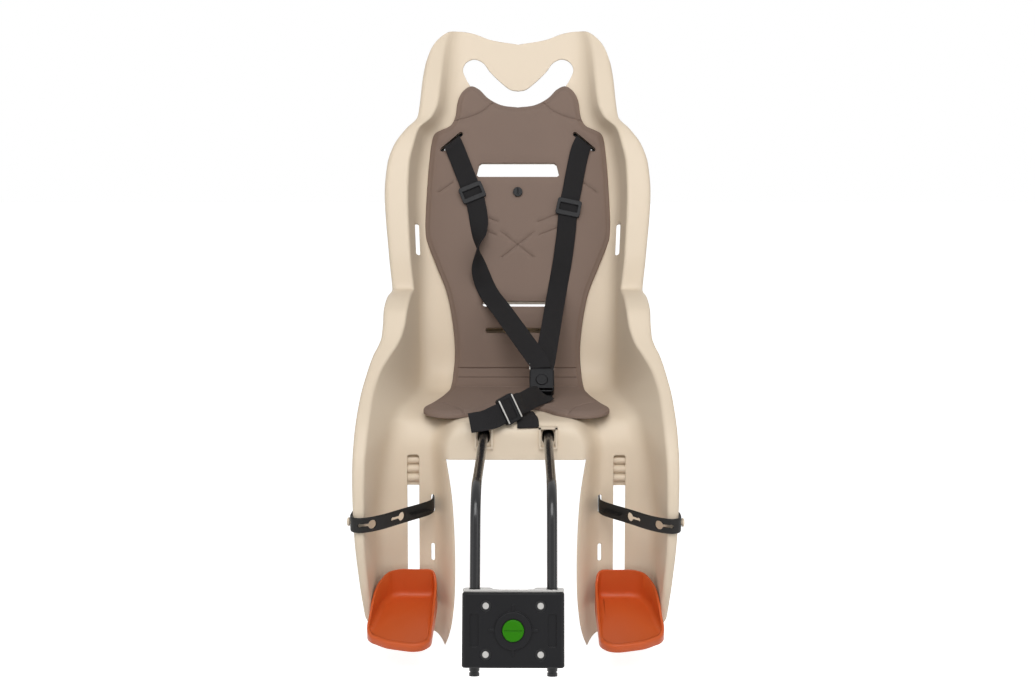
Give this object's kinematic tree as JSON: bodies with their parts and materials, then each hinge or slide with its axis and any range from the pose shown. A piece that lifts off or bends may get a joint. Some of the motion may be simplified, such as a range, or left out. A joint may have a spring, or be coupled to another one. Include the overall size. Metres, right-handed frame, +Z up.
{
  "type": "child bike seat",
  "caption": "Moulded child seat for the rear of a bicycle, carried by a bent bar in a seat tube clamp block, with foam pad, harness and footrests",
  "frame": {"origin": "on the seat tube axis at mid height of the clamp block", "axes": "+Z up, +Y to the rear of the bicycle, +X to the right as seen from the front"},
  "size_m": [0.3728, 0.6156, 0.7276],
  "materials": {
    "shell_plastic": "satin moulded beige",
    "pad_foam": "matt closed-cell foam",
    "black_plastic": "moulded satin",
    "black_bar": "gloss powder coat",
    "zinc_steel": "bright zinc",
    "green_plastic": "gloss",
    "orange_plastic": "satin moulded rust orange",
    "grey_plastic": "satin",
    "black_rubber": "matt",
    "webbing": "woven"
  },
  "bodies": {
    "frame_mount": {"mount_block": "black_plastic", "mount_jaw": "black_plastic", "mount_bolts": "zinc_steel", "mount_nuts": "black_bar", "button_spring": "zinc_steel"},
    "release_latch": {"release_button": "green_plastic", "lock_plate": "zinc_steel"},
    "seat": {"seat_shell": "shell_plastic", "seat_pad": "pad_foam", "pad_screw": "black_plastic", "pad_nut": "zinc_steel", "carrier_fork": "black_bar", "fork_clamp": "black_plastic", "fork_clamp_screws": "zinc_steel", "foot_strap_left": "black_rubber", "foot_strap_right": "black_rubber", "shoulder_strap_left": "webbing", "shoulder_strap_right": "webbing", "shoulder_adjuster_left": "black_plastic", "shoulder_adjuster_right": "black_plastic", "strap_stops": "black_plastic", "buckle_housing": "black_plastic", "buckle_tongue": "zinc_steel", "buckle_spring": "zinc_steel", "crotch_strap": "webbing", "crotch_anchor_strap": "webbing", "crotch_adjuster": "black_plastic", "crotch_stop": "black_plastic"},
    "footrest_left": {"footrest_left": "orange_plastic", "footrest_clip_left": "grey_plastic"},
    "footrest_right": {"footrest_right": "orange_plastic", "footrest_clip_right": "grey_plastic"},
    "buckle_release": {"buckle_button": "black_plastic"}
  },
  "joints": [
    {"name": "latch_press", "type": "slide", "parent": "frame_mount", "child": "release_latch", "axis": [0, 0.9563, -0.2924], "range_m": [0, 0.0035], "stiffness_N_per_m": 1500, "deforming": ["button_spring"]},
    {"name": "seat_lift", "type": "slide", "parent": "frame_mount", "child": "seat", "axis": [0, 0.2924, 0.9563], "range_m": [0, 0.09]},
    {"name": "footrest_left_lift", "type": "slide", "parent": "seat", "child": "footrest_left", "axis": [0, 0.0941, 0.9956], "range_m": [0, 0.06]},
    {"name": "footrest_right_lift", "type": "slide", "parent": "seat", "child": "footrest_right", "axis": [0, 0.0941, 0.9956], "range_m": [0, 0.06]},
    {"name": "buckle_press", "type": "slide", "parent": "seat", "child": "buckle_release", "axis": [0, 0.766, -0.6428], "range_m": [0, 0.002], "stiffness_N_per_m": 1200, "deforming": ["buckle_spring"]}
  ]
}
